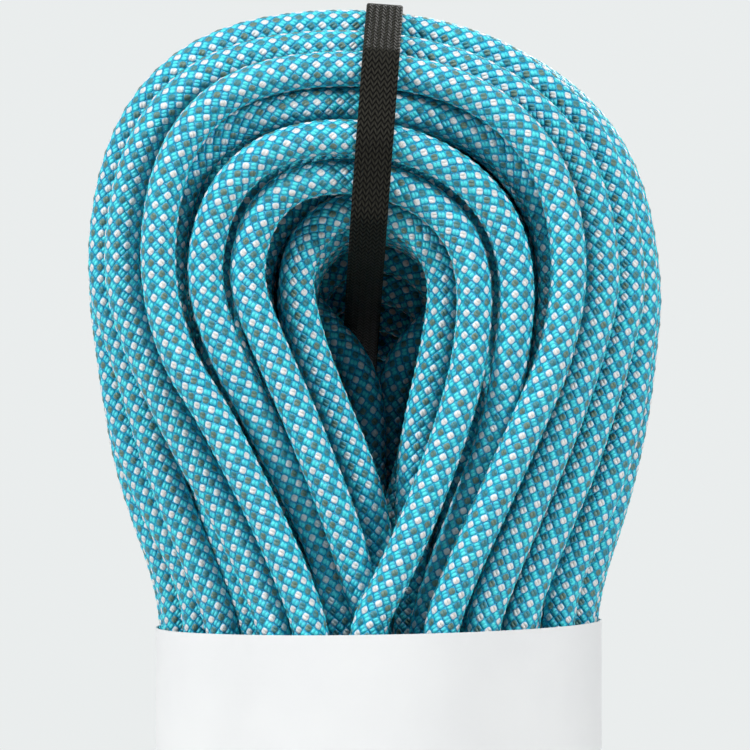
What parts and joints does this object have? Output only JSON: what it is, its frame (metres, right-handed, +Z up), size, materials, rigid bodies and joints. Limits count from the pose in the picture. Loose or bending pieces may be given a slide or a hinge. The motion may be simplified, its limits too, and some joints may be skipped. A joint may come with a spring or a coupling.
{
  "type": "dynamic climbing rope",
  "caption": "Coiled turquoise climbing rope in an upright hank, with a black webbing strap through its eye and a plain white paper sleeve round its waist.",
  "frame": {"origin": "on the floor, under the middle of the hank's foot", "axes": "+Z up along the hank, -Y towards the front, +X to the right of someone facing the front"},
  "size_m": [0.16, 0.1138, 0.5361],
  "materials": {
    "braided_sheath": "braided polyamide, turquoise with white and olive-grey pairs, semi-matt",
    "core_yarn": "white twisted polyamide",
    "fused_polyamide": "melted smooth",
    "clear_shrink_tube": "clear, glossy",
    "black_webbing": "flat woven, slight sheen",
    "stitching_thread": "bar-tack thread",
    "white_paper": "smooth satin card, bare"
  },
  "bodies": {
    "hank": {"lap_01": "braided_sheath", "lap_02": "braided_sheath", "lap_03": "braided_sheath", "lap_04": "braided_sheath", "lap_05": "braided_sheath", "lap_06": "braided_sheath", "lap_07": "braided_sheath", "lap_08": "braided_sheath", "lap_09": "braided_sheath", "lap_10": "braided_sheath", "lap_11": "braided_sheath", "front_end_sheath": "braided_sheath", "front_end_core_strands": "core_yarn", "front_end_fused_tip": "fused_polyamide", "front_end_marker": "clear_shrink_tube", "rear_end_sheath": "braided_sheath", "rear_end_core_strands": "core_yarn", "rear_end_fused_tip": "fused_polyamide", "rear_end_marker": "clear_shrink_tube"},
    "strap": {"hang_strap": "black_webbing", "strap_stitching": "stitching_thread"},
    "sleeve": {"paper_sleeve": "white_paper"}
  },
  "joints": [
    {"name": "sleeve_slide", "type": "slide", "parent": "hank", "child": "sleeve", "axis": [0, 0, -1], "range_m": [0, 0.015]},
    {"name": "strap_shift", "type": "hinge", "parent": "hank", "child": "strap", "pos_m": [0, 0, 0.454], "axis": [0, 1, 0], "range_deg": [-5, 5]}
  ]
}
